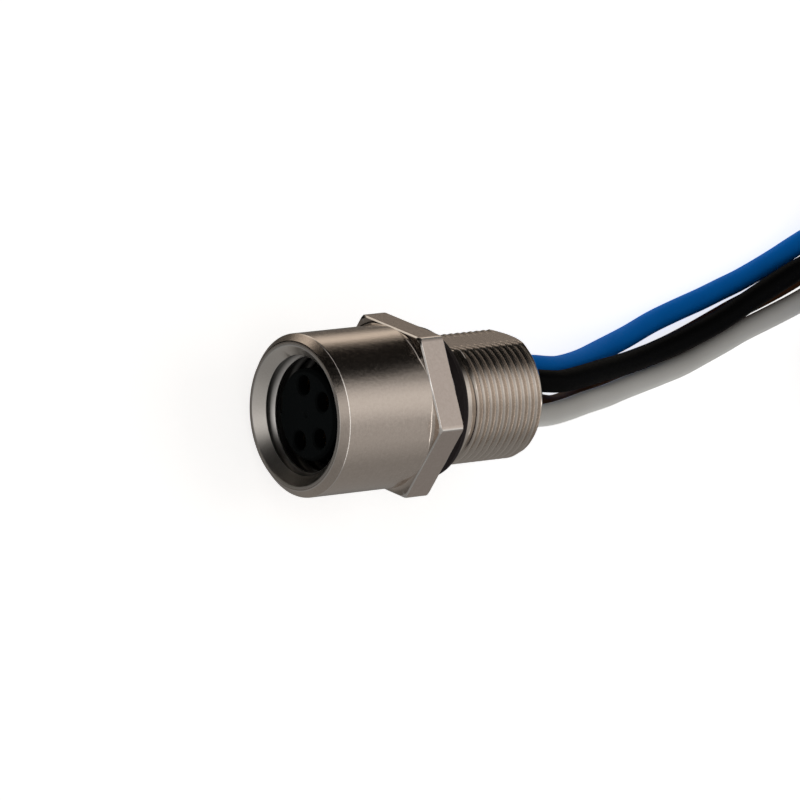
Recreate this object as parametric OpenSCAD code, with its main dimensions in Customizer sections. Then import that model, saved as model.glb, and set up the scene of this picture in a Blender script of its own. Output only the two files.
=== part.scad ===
// Four-pole sensor receptacle for front mounting in a panel, with potted leads.
// X runs along the axis from the mouth to the leads and Z is up: the hexagon lies on z = 0.

/* [Housing] */
// Width across the flats of the hexagon
hex_af = 10; // [9.8:0.1:14]
// Thickness of the hexagon
hex_t = 1.8; // [1.2:0.1:5]
// Turned bevel on the corners of the hexagon, measured along the radius
hex_bevel = 0.25; // [0.1:0.05:0.5]
// How far the round nose lies inside the flats
nose_inset = 0.05; // [0.05:0.05:0.2]
// Length of the nose, from the rim to the hexagon
nose_l = 6.7; // [6:0.1:14]
// Bevel on the outer edge of the rim
rim_bevel = 0.45; // [0.1:0.05:0.5]

/* [Panel thread] */
// Crest diameter of the thread on the shank
panel_thread_d = 7.95; // [7.4:0.05:8.6]
// Pitch of the thread
thread_pitch = 0.5; // [0.4:0.05:0.75]
// Depth of the thread's grooves
thread_depth = 0.28; // [0.15:0.01:0.32]
// Length of the shank behind the hexagon
shank_l = 7.6; // [6.8:0.1:20]
// Bevel at both ends of the thread
thread_bevel = 0.35; // [0.1:0.05:0.5]
// Distance from the axis to the milled flat
flat_h = 3.6; // [3.4:0.05:3.9]
// Turn of the milled flat about the axis, from the upright
flat_turn = 60; // [0:60:300]

/* [Panel seal] */
// Diameter of the sealing ring's section
seal_section = 1.4; // [1:0.05:1.6]
// Diameter at the floor of the seal groove
groove_d = 6.4; // [6.2:0.05:6.7]
// Play of the ring in its groove
seal_gap = 0.05; // [0.02:0.01:0.1]

/* [Mouth] */
// Diameter of the countersink at the rim
countersink_d = 8.5; // [7.4:0.1:8.8]
// Bore of the plug thread at its crests
plug_bore_d = 6.92; // [6.5:0.02:7.2]
// Depth of the mouth, from the rim to its floor
mouth_l = 5.6; // [4.6:0.1:6.5]
// Bore behind the mouth, for the carrier's stem and the potting
rear_bore_d = 5.3; // [5.1:0.05:5.5]
// Bevel at the rear end of that bore
rear_bore_bevel = 0.3; // [0.1:0.05:0.5]

/* [Contact carrier] */
// Diameter of the post that carries the contacts
post_d = 5.6; // [5.4:0.1:6.2]
// Depth of the post's face behind the rim
face_depth = 0.9; // [0.3:0.1:1.8]
// Bevel round the post's face
post_bevel = 0.2; // [0.1:0.05:0.3]
// Thickness of the flange on the floor of the mouth
flange_t = 1; // [0.6:0.1:1.6]
// Length of the stem in the rear bore
stem_l = 2; // [1:0.1:3]
// Play of the carrier in the housing
carrier_gap = 0.02; // [0.01:0.01:0.05]
// Width of the keyway in the post
key_w = 1; // [0.6:0.1:1.4]
// Depth of the keyway
key_depth = 0.4; // [0.2:0.05:0.5]

/* [Contacts] */
// Diameter of the circle through the contacts
contact_circle_d = 3.6; // [3.4:0.05:3.6]
// Turn of the contact pattern about the axis, from the upright
pattern_turn = -28.5; // [-90:0.5:90]
// Angle from the pattern's middle to each near contact
near_angle = 39; // [36:0.5:44]
// Angle from the pattern's middle to each far contact
far_angle = 107.5; // [100:0.5:115]
// Outside diameter of a socket contact
contact_d = 1.4; // [1.3:0.05:1.5]
// Bore that takes the plug's pin
pin_bore_d = 1.04; // [0.8:0.02:1.1]
// Depth of the pin bore
pin_bore_l = 4.5; // [3:0.1:4.5]
// Width of the slot between the tines
slot_w = 0.2; // [0.1:0.05:0.3]
// Length of the slot between the tines
slot_l = 3.5; // [2:0.1:4]
// Bore of the solder cup
cup_bore_d = 0.9; // [0.8:0.05:1]
// Depth of the solder cup
cup_l = 1.5; // [1:0.1:1.5]
// How far a contact stands out behind the stem
cup_reach = 1.6; // [1:0.1:2]
// Diameter of the entry holes in the post's face
entry_hole_d = 1.2; // [1:0.05:1.3]
// Wall between the post's face and the contacts
face_wall = 0.8; // [0.3:0.05:0.9]
// Play round a contact in the carrier
contact_gap = 0.02; // [0.01:0.01:0.05]

/* [Leads] */
// Diameter of a lead over its insulation
lead_d = 1.4; // [1.2:0.05:1.45]
// Diameter of the bare strand
strand_d = 0.7; // [0.4:0.05:0.75]
// Bare strand between the solder cup and the insulation
strand_show = 0.6; // [0.3:0.1:1]
// Depth of the potting's face inside the rear end
potting_recess = 0.6; // [0.2:0.1:1.5]
// Play round the potting and what it holds
potting_gap = 0.02; // [0.01:0.01:0.04]

/* [Coil] */
// Radius of the coil's outer turn
coil_r = 9.9; // [9:0.1:9.9]
// Width of the wound band along the radius
coil_band = 6.2; // [5:0.1:7]
// Width of a tie's strap
tie_w = 2.5; // [2:0.1:4]
// Thickness of a tie's strap
tie_t = 0.4; // [0.3:0.05:0.5]
// Play between a tie and the coil
tie_gap = 0.02; // [0.01:0.01:0.05]
// Side of the block on a tie
tie_block = 2.8; // [2.2:0.1:3.4]
// Height of the block on a tie
tie_block_h = 1.4; // [1:0.1:2]

/* [Hidden] */
$fn = 96;
// Overlap that keeps a cut clear of the face it starts from
cut = 1;

// Stations along the axis, from the rim
hex_front = nose_l;
hex_rear = hex_front + hex_t;
groove_w = seal_section + 2 * seal_gap;
thread_front = hex_rear + groove_w;
total_l = hex_rear + shank_l;
flange_front = mouth_l - carrier_gap - flange_t;
stem_rear = mouth_l + stem_l;
contact_front = face_depth + face_wall;
contact_rear = stem_rear + cup_reach;
insulation_front = contact_rear + strand_show;
potting_rear = total_l - potting_recess;

// Radii
nose_r = hex_af / 2 - nose_inset;
hex_corner_r = hex_af / sqrt(3);
thread_r = panel_thread_d / 2;
sink_r = countersink_d / 2;
plug_r = plug_bore_d / 2;
bore_r = rear_bore_d / 2;
post_r = post_d / 2;
lead_r = lead_d / 2;
axis_z = hex_af / 2;
// Slope of the turned bevel on the hexagon
bevel_slope = 30;

// Grooves of the panel thread: rings at the thread's pitch, without its lead
flank_angle = 60;
notch_w = 2 * thread_depth * tan(flank_angle / 2);
notch_count = floor((total_l - thread_front - 2 * thread_bevel) / thread_pitch);
notch_front = (thread_front + total_l - (notch_count - 1) * thread_pitch) / 2;

// Poles 1 to 4: brown, white, blue, black
pole_angles = [pattern_turn - far_angle, pattern_turn - near_angle,
               pattern_turn + far_angle, pattern_turn + near_angle];
// Where the leads leave the potting, as Y and Z from the axis
lead_exits = [[-0.3, -0.8], [-1.65, 0.35], [1.5, 0.05], [0.4, 1.1]];

// Points that the leads pass on the way to the coil
brown_route = [[8.8, -0.3, 4.2], [10.2, -0.5, 3.95], [11.6, -0.7, 3.45], [13, -0.75, 2.85], [14.5, -0.5, 2.2],
               [16, 0, 1.6], [18, 0.7, 1.05], [20.5, 1.5, 0.75], [23, 2.15, 0.7], [25, 2.65, 0.7],
               [27, 3.25, 0.7], [29, 3.9, 0.7], [31, 4.55, 0.7], [33.5, 5.25, 0.7], [36, 6.05, 0.7],
               [38.4, 7, 0.8], [40.7, 7.8, 0.9]];
white_route = [[9, -1.7, 5.35], [10.6, -1.7, 5.2], [12.2, -1.5, 4.9], [14.5, -1.05, 4.3], [16.9, -0.6, 3.4],
               [19.2, -0.2, 2.5], [21.5, 0.25, 1.7], [23.6, 0.75, 1.1], [25.6, 1.25, 0.8], [27.6, 1.8, 0.7],
               [29.4, 2.35, 0.7], [31.2, 2.95, 0.7], [33.7, 3.75, 0.7], [36.4, 4.6, 0.75], [39.1, 5.6, 1]];
blue_route = [[9, 1.5, 5.05], [10.5, 1.5, 4.9], [12, 1.4, 4.5], [13.5, 1.45, 3.95], [15.8, 1.85, 3.1],
              [18.4, 2.55, 2.1], [21.4, 3.4, 1.25], [24, 4.25, 0.8], [26.2, 4.85, 0.72], [28.4, 5.4, 0.7],
              [30.2, 5.9, 0.7], [32, 6.4, 0.7], [34.8, 7.35, 0.7], [37.4, 8.35, 1], [39.8, 9.2, 1.9],
              [42.4, 9.6, 4.1]];
black_route = [[9, 0.4, 6.1], [10.6, 0.25, 5.9], [12, 0.2, 5.6], [14, 0.45, 5], [16.3, 0.85, 4.2],
               [19.3, 1.35, 3.15], [22, 1.9, 2.45], [24.4, 2.45, 2.2], [26.6, 3.05, 2.15], [28.5, 3.65, 2.15],
               [30.3, 4.35, 2.15], [33, 5.4, 2.2], [35.8, 6.4, 2.15], [38.2, 7, 2.2], [40.7, 7.8, 2.35]];
coil_place = [49, 0];
tie_angles = [30, 210];

// Sides of the round leads
lead_sides = 8;

function pole_place(i) = contact_circle_d / 2 * [sin(pole_angles[i]), cos(pole_angles[i])];
// A point from its station and its Y and Z from the axis
function part_point(station, yz) = [station - total_l / 2, yz[0], axis_z + yz[1]];
function unit(v) = v / norm(v);
function heading(path, i) = i == 0 ? [1, 0, 0] : unit(path[min(i + 1, len(path) - 1)] - path[i - 1]);
function ring_points(centre, along, r) =
    let (side = unit(cross(along, [0, 0, 1])), up = cross(side, along))
    [for (k = [0 : lead_sides - 1])
        let (a = 360 * (k + 0.5) / lead_sides) centre + r * (cos(a) * side + sin(a) * up)];

// Stands the drawing plane across the axis: local Z runs to the rear, local -X is up
module on_axis() translate([-total_l / 2, 0, axis_z]) rotate([0, 90, 0]) children();

module at_pole(i) translate([-pole_place(i)[1], pole_place(i)[0], 0]) children();

// Puts a piece drawn along local Z on the line from one point to another
module between(start, end) {
    run = end - start;
    translate(start) rotate([0, acos(run[2] / norm(run)), atan2(run[1], run[0])]) children();
}

function notch(station) = [[thread_r, station - notch_w / 2], [thread_r - thread_depth, station],
                           [thread_r, station + notch_w / 2]];

module turned_outside() rotate_extrude() polygon(concat(
    [[0, 0], [nose_r - rim_bevel, 0], [nose_r, rim_bevel], [nose_r, hex_rear],
     [groove_d / 2, hex_rear], [groove_d / 2, thread_front], [thread_r - thread_bevel, thread_front],
     [thread_r, thread_front + thread_bevel]],
    [for (i = [0 : notch_count - 1]) each notch(notch_front + i * thread_pitch)],
    [[thread_r, total_l - thread_bevel], [thread_r - thread_bevel, total_l], [0, total_l]]));

module hexagon() intersection() {
    translate([0, 0, hex_front]) rotate(30) cylinder(r = hex_corner_r, h = hex_t, $fn = 6);
    rotate_extrude() polygon([
        [0, hex_front], [hex_corner_r - hex_bevel, hex_front],
        [hex_corner_r, hex_front + hex_bevel * tan(bevel_slope)],
        [hex_corner_r, hex_rear - hex_bevel * tan(bevel_slope)],
        [hex_corner_r - hex_bevel, hex_rear], [0, hex_rear]]);
}

module stepped_bore() rotate_extrude() polygon([
    [0, -cut], [sink_r + cut, -cut], [plug_r, sink_r - plug_r], [plug_r, mouth_l], [bore_r, mouth_l],
    [bore_r, total_l - rear_bore_bevel], [bore_r + rear_bore_bevel + cut, total_l + cut],
    [0, total_l + cut]]);

module milled_flat() rotate(-flat_turn)
    translate([-flat_h - 2 * thread_r, -2 * thread_r, hex_rear + groove_w / 2])
        cube([2 * thread_r, 4 * thread_r, shank_l]);

module housing() color("#b9b3aa") on_axis() difference() {
    union() {
        turned_outside();
        hexagon();
    }
    stepped_bore();
    milled_flat();
}

module contact_carrier() color("#1d1e20") on_axis() difference() {
    rotate_extrude() polygon([
        [0, face_depth], [post_r - post_bevel, face_depth], [post_r, face_depth + post_bevel],
        [post_r, flange_front], [plug_r - carrier_gap, flange_front],
        [plug_r - carrier_gap, mouth_l - carrier_gap], [bore_r - carrier_gap, mouth_l - carrier_gap],
        [bore_r - carrier_gap, stem_rear], [0, stem_rear]]);
    for (i = [0 : len(pole_angles) - 1]) at_pole(i) {
        translate([0, 0, face_depth - cut]) cylinder(d = entry_hole_d, h = face_wall + 2 * cut);
        translate([0, 0, contact_front - contact_gap])
            cylinder(r = contact_d / 2 + contact_gap, h = stem_rear - contact_front + cut);
    }
    // The keyway is on the side away from the pattern's middle
    rotate(-pattern_turn) translate([post_r - key_depth, -key_w / 2, face_depth - cut])
        cube([key_depth + cut, key_w, flange_front - face_depth + cut]);
}

module socket_contact(i) color("#c9a54c") on_axis() at_pole(i) difference() {
    rotate_extrude() polygon([
        [0, contact_front + pin_bore_l], [pin_bore_d / 2, contact_front + pin_bore_l],
        [pin_bore_d / 2, contact_front], [contact_d / 2, contact_front], [contact_d / 2, contact_rear],
        [cup_bore_d / 2, contact_rear], [cup_bore_d / 2, contact_rear - cup_l], [0, contact_rear - cup_l]]);
    translate([-contact_d, -slot_w / 2, contact_front - cut]) cube([2 * contact_d, slot_w, slot_l + cut]);
}

module panel_seal() color("#222126") on_axis()
    translate([0, 0, hex_rear + seal_gap + seal_section / 2])
        rotate_extrude() translate([groove_d / 2 + seal_gap + seal_section / 2, 0]) circle(d = seal_section);

// A lead's insulation inside the potting, cut level with the potting's face
module insulation(i, gap) intersection() {
    between(part_point(insulation_front, pole_place(i)), part_point(total_l, lead_exits[i]))
        cylinder(r = lead_r + gap, h = total_l);
    translate([insulation_front - total_l / 2 - cut, -bore_r, axis_z - bore_r])
        cube([potting_rear - insulation_front + cut + (gap > 0 ? cut : 0), 2 * bore_r, 2 * bore_r]);
}

module bare_strand(i, gap) on_axis() at_pole(i) translate([0, 0, contact_rear - cup_l - gap])
    cylinder(r = strand_d / 2 + gap, h = cup_l + strand_show + lead_r);

module potting() color("#2b2b2d") difference() {
    on_axis() translate([0, 0, stem_rear + potting_gap])
        cylinder(r = bore_r - potting_gap, h = potting_rear - stem_rear - potting_gap);
    for (i = [0 : len(pole_angles) - 1]) {
        on_axis() at_pole(i) translate([0, 0, stem_rear - cut])
            cylinder(r = contact_d / 2 + potting_gap, h = cup_reach + cut + potting_gap);
        bare_strand(i, potting_gap);
        insulation(i, potting_gap);
    }
}

module lead_end(i, colour) color(colour) {
    bare_strand(i, 0);
    insulation(i, 0);
}

// A round lead from the potting's face along its points
module free_lead(i, route, colour) {
    path = concat([part_point(potting_rear, lead_exits[i])], route);
    last = len(path) - 1;
    points = [for (n = [0 : last]) each ring_points(path[n], heading(path, n), lead_r)];
    walls = [for (n = [0 : last - 1]) for (k = [0 : lead_sides - 1])
        let (next = (k + 1) % lead_sides, a = n * lead_sides, b = a + lead_sides)
        [a + k, a + next, b + next, b + k]];
    front = [for (k = [lead_sides - 1 : -1 : 0]) k];
    back = [for (k = [0 : lead_sides - 1]) last * lead_sides + k];
    color(colour) polyhedron(points, concat([front], walls, [back]));
}

coil_outer_r = coil_r + lead_r;
coil_inner_r = coil_outer_r - coil_band;
coil_floor = tie_t + tie_gap;
coil_h = len(pole_angles) * lead_d;

module wire_coil() color("#55585c") translate([coil_place[0], coil_place[1], coil_floor])
    rotate_extrude() polygon([
        [coil_inner_r + lead_r, 0], [coil_outer_r - lead_r, 0], [coil_outer_r, lead_r],
        [coil_outer_r, coil_h - lead_r], [coil_outer_r - lead_r, coil_h],
        [coil_inner_r + lead_r, coil_h], [coil_inner_r, coil_h - lead_r], [coil_inner_r, lead_r]]);

// A strap round the coil's section, clear of the curved inner wall, with its block on top
module coil_tie(angle) color("#1a1a1b") translate([coil_place[0], coil_place[1], 0]) rotate(angle) {
    strap_start = sqrt(pow(coil_inner_r, 2) - pow(tie_w / 2, 2)) - coil_floor;
    strap_l = coil_outer_r + coil_floor - strap_start;
    strap_h = coil_h + 2 * coil_floor;
    translate([strap_start, 0, 0]) {
        difference() {
            translate([0, -tie_w / 2, 0]) cube([strap_l, tie_w, strap_h]);
            translate([tie_t, -tie_w, tie_t]) cube([strap_l - 2 * tie_t, 2 * tie_w, strap_h - 2 * tie_t]);
        }
        translate([(strap_l - tie_block) / 2, -tie_block / 2, strap_h])
            cube([tie_block, tie_block, tie_block_h]);
    }
}

housing();
contact_carrier();
socket_contact(0);  // contact_1
socket_contact(1);  // contact_2
socket_contact(2);  // contact_3
socket_contact(3);  // contact_4
panel_seal();
potting();
lead_end(0, "#5a3420");  // lead_end_1
lead_end(1, "#e4e4e2");  // lead_end_2
lead_end(2, "#1565a8");  // lead_end_3
lead_end(3, "#1b1b1c");  // lead_end_4
free_lead(0, brown_route, "#5a3420");  // wire_brown
free_lead(1, white_route, "#e4e4e2");  // wire_white
free_lead(2, blue_route, "#1565a8");  // wire_blue
free_lead(3, black_route, "#1b1b1c");  // wire_black
wire_coil();
coil_tie(tie_angles[0]);  // coil_tie_1
coil_tie(tie_angles[1]);  // coil_tie_2
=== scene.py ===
import bpy
import bmesh
import math
import numpy as np
from mathutils import Matrix, Vector


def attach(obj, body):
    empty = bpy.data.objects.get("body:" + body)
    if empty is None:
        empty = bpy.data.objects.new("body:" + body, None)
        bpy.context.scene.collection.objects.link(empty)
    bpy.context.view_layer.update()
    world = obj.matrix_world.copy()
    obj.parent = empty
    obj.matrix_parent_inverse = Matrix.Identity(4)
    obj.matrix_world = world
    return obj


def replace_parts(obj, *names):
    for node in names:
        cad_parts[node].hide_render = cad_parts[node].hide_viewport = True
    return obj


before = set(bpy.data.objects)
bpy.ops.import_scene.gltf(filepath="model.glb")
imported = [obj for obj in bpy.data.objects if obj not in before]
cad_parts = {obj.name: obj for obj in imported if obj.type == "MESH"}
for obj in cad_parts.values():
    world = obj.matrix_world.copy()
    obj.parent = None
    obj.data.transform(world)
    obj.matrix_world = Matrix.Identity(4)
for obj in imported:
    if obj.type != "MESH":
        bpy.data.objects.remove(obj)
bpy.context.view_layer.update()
scene = bpy.context.scene
mm = 0.001
axis = {"rim": -8.05, "height": 5}    # the rim's place along X and the axis' height over the table, in mm
weldGap = 2e-7    # in metres
print("frame loaded:", len(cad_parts), "nodes")


def linear(colour):    # sRGB hex to linear RGBA
    parts = [int(colour[i:i + 2], 16) / 255 for i in (1, 3, 5)]
    return [c / 12.92 if c <= 0.04045 else ((c + 0.055) / 1.055) ** 2.4 for c in parts] + [1.0]


def addNode(tree, kind, inputs=None, **settings):
    node = tree.nodes.new(kind)
    for key, value in settings.items():
        setattr(node, key, value)
    for key, value in (inputs or {}).items():
        if isinstance(value, bpy.types.Node):
            value = value.outputs[0]
        if isinstance(value, bpy.types.NodeSocket):
            tree.links.new(value, node.inputs[key])
        else:
            node.inputs[key].default_value = value
    return node


def addPiece(name, data):
    piece = bpy.data.objects.new(name, data)
    scene.collection.objects.link(piece)
    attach(piece, "root")
    return piece


# Camera, at the photograph's place: a long lens that looks down on the lying part; eye and aim in mm, near
# and far in metres
view = {"eye": (-297.33, -75.19, 389.58), "aim": (1.38, 0.62, 3.22), "right": (0.7880, -0.2256, 0.5729),
        "lens": 366.6, "sensor": 36, "near": 0.01, "far": 20}
back = (Vector(view["eye"]) - Vector(view["aim"])).normalized()
right = Vector(view["right"])
right = (right - right.dot(back) * back).normalized()
camera = bpy.data.objects.new("camera", bpy.data.cameras.new("camera"))
camera.data.lens = view["lens"]
camera.data.sensor_width = view["sensor"]
camera.data.clip_start = view["near"]
camera.data.clip_end = view["far"]
turned = Matrix((right, back.cross(right), back)).transposed().to_4x4()
camera.matrix_world = Matrix.Translation(Vector(view["eye"]) * mm) @ turned
scene.collection.objects.link(camera)
scene.camera = camera
print("camera placed")

# Leads: the points each passes from the resin on, how it joins the coil, and the layer it lies in
leads = {
    "diameter": 1.4,
    "length": 200,
    "bareEnd": 4.5,
    "routes": {
        "Brown": [(7.45, -0.3, 4.2), (8.8, -0.3, 4.2), (10.2, -0.5, 3.95), (11.6, -0.7, 3.45),
                  (13, -0.75, 2.85), (14.5, -0.5, 2.2), (16, 0, 1.6), (18, 0.7, 1.05), (20.5, 1.5, 0.75),
                  (23, 2.15, 0.7), (25, 2.65, 0.7), (27, 3.25, 0.7), (29, 3.9, 0.7), (31, 4.55, 0.7),
                  (33.5, 5.25, 0.7), (36, 6.05, 0.7), (38.4, 7, 0.8), (40.7, 7.8, 0.9)],
        "White": [(7.45, -1.65, 5.35), (9, -1.7, 5.35), (10.6, -1.7, 5.2), (12.2, -1.5, 4.9),
                  (14.5, -1.05, 4.3), (16.9, -0.6, 3.4), (19.2, -0.07, 2.5), (21.5, 0.42, 1.7),
                  (23.6, 0.87, 1.1), (25.6, 1.32, 0.8), (27.6, 1.93, 0.7), (29.4, 2.5, 0.7),
                  (31.2, 3.1, 0.7), (33.7, 3.8, 0.7), (36.4, 4.6, 0.75), (39.1, 5.6, 1)],
        "Blue": [(7.45, 1.5, 5.05), (9, 1.5, 5.05), (10.5, 1.5, 4.9), (12, 1.4, 4.5), (13.5, 1.45, 3.95),
                 (15.8, 1.85, 3.1), (18.4, 2.55, 2.1), (21.4, 3.4, 1.25), (24, 4.25, 0.8),
                 (26.2, 4.85, 0.72), (28.4, 5.4, 0.7), (30.2, 5.9, 0.7), (32, 6.4, 0.7),
                 (34.8, 7.35, 0.7), (37.4, 8.35, 1), (39.8, 9.2, 1.9), (42.4, 9.6, 4.1)],
        "Black": [(7.45, 0.4, 6.1), (9, 0.4, 6.1), (10.6, 0.25, 5.9), (12, 0.2, 5.6), (14, 0.45, 5),
                  (16.3, 0.85, 4.2), (19.3, 1.35, 3.15), (22, 1.9, 2.45), (24.4, 2.45, 2.2),
                  (26.6, 3.05, 2.15), (28.5, 3.65, 2.15), (30.3, 4.35, 2.15), (33, 5.4, 2.2),
                  (35.8, 6.4, 2.15), (38.2, 7, 2.2), (40.7, 7.8, 2.35)]},
    # before the coil: distance back, sideways, height
    "joining": {"Brown": [(2.6, 0, 1.05)], "White": [(5, -1.4, 2.3), (2.5, -0.85, 3.6)],
                "Blue": [(1.5, 0.5, 5.1)], "Black": [(2.6, 0, 2.47)]},
    "layers": {"Brown": 1.12, "Black": 2.52, "White": 3.92, "Blue": 5.32},
    # crossFrom and crossShare: the part of a turn in which a lead crosses to the next wrap
    "coil": {"middle": (49, 0), "radius": 9.9, "entry": 108, "step": 1.6, "perTurn": 18, "mostTurns": 6,
             "crossFrom": 0.74, "crossShare": 0.22},
    "resolution": 5,    # of the curves, along and round
}


def leadPoints(colour):    # the route, then round wraps of its layer until the length is used; the bare end
    coil = leads["coil"]
    entry = math.radians(coil["entry"])
    heading = Vector((math.sin(entry), -math.cos(entry), 0))
    side = Vector((-heading.y, heading.x, 0))
    middle = Vector((*coil["middle"], leads["layers"][colour]))
    edge = middle + coil["radius"] * Vector((math.cos(entry), math.sin(entry), 0))
    points = [Vector(p) for p in leads["routes"][colour]]
    for distance, sideways, z in leads["joining"][colour]:
        place = edge - distance * heading + sideways * side
        points.append(Vector((place.x, place.y, z)))
    left = leads["length"] - leads["bareEnd"] - sum((b - a).length for a, b in zip(points, points[1:]))
    wound = []
    for step in range(coil["mostTurns"] * coil["perTurn"]):
        turn = step / coil["perTurn"]
        crossed = min(max((turn % 1 - coil["crossFrom"]) / coil["crossShare"], 0), 1)
        wraps = math.floor(turn) + crossed ** 2 * (3 - 2 * crossed)    # a smooth step
        radius = coil["radius"] - coil["step"] * wraps
        angle = entry - 2 * math.pi * turn
        wound.append(middle + radius * Vector((math.cos(angle), math.sin(angle), 0)))
    covered, rest = cutAt([points[-1]] + wound, left)
    return points + covered[1:], cutAt(rest, leads["bareEnd"])[0]


def cutAt(points, length):    # a path in two parts, cut at a length
    for i in range(1, len(points)):
        step = (points[i] - points[i - 1]).length
        if step >= length:
            place = points[i - 1].lerp(points[i], length / step)
            return points[:i] + [place], [place] + points[i:]
        length -= step
    return points, points[-1:]


def leadCurve(name, points, depth):    # a round curve; each handle is a third of the way to the next point
    curve = bpy.data.curves.new(name, "CURVE")
    curve.dimensions = "3D"
    curve.resolution_u = leads["resolution"]
    curve.bevel_depth = 1.0    # times each point's radius
    curve.bevel_resolution = leads["resolution"]
    curve.use_fill_caps = True
    spline = curve.splines.new("BEZIER")
    spline.bezier_points.add(len(points) - 1)
    befores = [points[0]] + points
    afters = points[1:] + [points[-1]]
    for before, place, after, spot in zip(befores, points, afters, spline.bezier_points):
        along = (after - before).normalized() / 3
        spot.handle_left_type = spot.handle_right_type = "FREE"
        spot.co = place * mm
        spot.radius = depth * mm
        spot.handle_left = (place - along * (place - before).length) * mm
        spot.handle_right = (place + along * (after - place).length) * mm
    return curve


leadPieces = {}
barePaths = {}
for colour in leads["routes"]:
    points, barePaths[colour] = leadPoints(colour)
    name = "lead" + colour
    curve = leadCurve(name, points, leads["diameter"] / 2)
    leadPieces[colour] = addPiece(name, curve)
    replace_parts(leadPieces[colour], "wire_" + colour.lower(), "wire_coil")
print("leads laid:", len(leadPieces))

# Finishes: the levels of a noise pattern between which a finish goes from one end of its range to the other
noiseLevels = {"metal": (0.35, 0.65), "plastic": (0.3, 0.7)}
# the lighter colour of polished edges: partly real polish, partly a painted highlight
polishedEdgeHighlight = "#fffcf8"
cloudSize = 1.8


def finish(name):
    material = bpy.data.materials.new(name)
    material.use_nodes = True
    tree = material.node_tree
    place = addNode(tree, "ShaderNodeTexCoord").outputs["Object"]
    return material, tree, tree.nodes["Principled BSDF"], place


def platedMetal(name, colours, roughness, marks, grain, share, depth, paintedShade=None):
    # plate on turned metal: a warm grey mirror dulled by fine tool rings and by the speckle of the plating
    # bath; marks and grain are their sizes in mm, share is the speckle's part, depth the relief in mm
    material, tree, shader, place = finish(name)
    shader.inputs["Metallic"].default_value = 1
    low, high = noiseLevels["metal"]
    centred = addNode(tree, "ShaderNodeVectorMath", {0: place, 1: (0, 0, -axis["height"] * mm)},
                      operation="ADD")
    across = addNode(tree, "ShaderNodeVectorMath", {0: centred, 1: (0, 1, 1)}, operation="MULTIPLY")
    radius = addNode(tree, "ShaderNodeVectorMath", {0: across}, operation="LENGTH").outputs["Value"]
    along = addNode(tree, "ShaderNodeSeparateXYZ", {0: place}).outputs["X"]
    ring = addNode(tree, "ShaderNodeMath", {0: along, 1: radius}, operation="ADD")
    rings = addNode(tree, "ShaderNodeTexNoise", {"W": ring, "Scale": 1 / (marks * mm), "Detail": 3.0},
                    noise_dimensions="1D")
    speckle = addNode(tree, "ShaderNodeTexNoise",
                      {"Vector": place, "Scale": 1 / (grain * mm), "Detail": 3.0})
    mix = addNode(tree, "ShaderNodeMix", {0: share, 2: rings.outputs["Fac"], 3: speckle.outputs["Fac"]})
    tone = addNode(tree, "ShaderNodeMapRange", {0: mix, 1: low, 2: high})
    colour = addNode(tree, "ShaderNodeMix", {0: tone, 6: linear(colours[0]), 7: linear(colours[1])},
                     data_type="RGBA")
    shine = addNode(tree, "ShaderNodeMapRange",
                    {0: mix, 1: low, 2: high, 3: roughness[0], 4: roughness[1]})
    bump = addNode(tree, "ShaderNodeBump", {"Height": mix, "Strength": 1.0, "Distance": depth * mm})
    # edges that handling has polished, lighter in colour: partly real polish, partly a painted highlight
    worn = addNode(tree, "ShaderNodeAttribute", attribute_name="worn").outputs["Fac"]
    shown = addNode(tree, "ShaderNodeMix", {0: worn, 6: colour.outputs[2], 7: linear(polishedEdgeHighlight)},
                    data_type="RGBA").outputs[2]
    # painted shade: the colour darkens towards a groove's bottom and deeper in a bore
    for key, value in (("radius", radius), ("x", along)):
        if paintedShade and key in paintedShade:
            left = addNode(tree, "ShaderNodeMapRange", {0: value, 1: paintedShade[key][0] * mm, 2: paintedShade[key][1] * mm,
                                                        3: 1.0, 4: paintedShade["left"]})
            shadeDarkened = addNode(tree, "ShaderNodeVectorMath", {0: shown, "Scale": left}, operation="SCALE")
            shown = shadeDarkened.outputs[0]
    tree.links.new(shown, shader.inputs["Base Color"])
    tree.links.new(shine.outputs[0], shader.inputs["Roughness"])
    tree.links.new(bump.outputs[0], shader.inputs["Normal"])
    return material


def plastic(name, colours, roughness, specular, skin, depth):
    # dyed plastic: an even colour with slight clouds, and a fine skin that spreads the light; skin is the
    # size of its grain in mm, depth its relief in mm
    material, tree, shader, place = finish(name)
    shader.inputs["Specular IOR Level"].default_value = specular
    low, high = noiseLevels["plastic"]
    cloud = addNode(tree, "ShaderNodeTexNoise",
                    {"Vector": place, "Scale": 1 / (cloudSize * mm), "Detail": 3.0})
    fine = addNode(tree, "ShaderNodeTexNoise",
                   {"Vector": place, "Scale": 1 / (skin * mm), "Detail": 2.0}).outputs["Fac"]
    colour = addNode(tree, "ShaderNodeMix",
                     {0: cloud.outputs["Fac"], 6: linear(colours[0]), 7: linear(colours[1])},
                     data_type="RGBA")
    shine = addNode(tree, "ShaderNodeMapRange",
                    {0: fine, 1: low, 2: high, 3: roughness[0], 4: roughness[1]})
    bump = addNode(tree, "ShaderNodeBump", {"Height": fine, "Strength": 1.0, "Distance": depth * mm})
    tree.links.new(colour.outputs[2], shader.inputs["Base Color"])
    tree.links.new(shine.outputs[0], shader.inputs["Roughness"])
    tree.links.new(bump.outputs[0], shader.inputs["Normal"])
    return material


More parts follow.
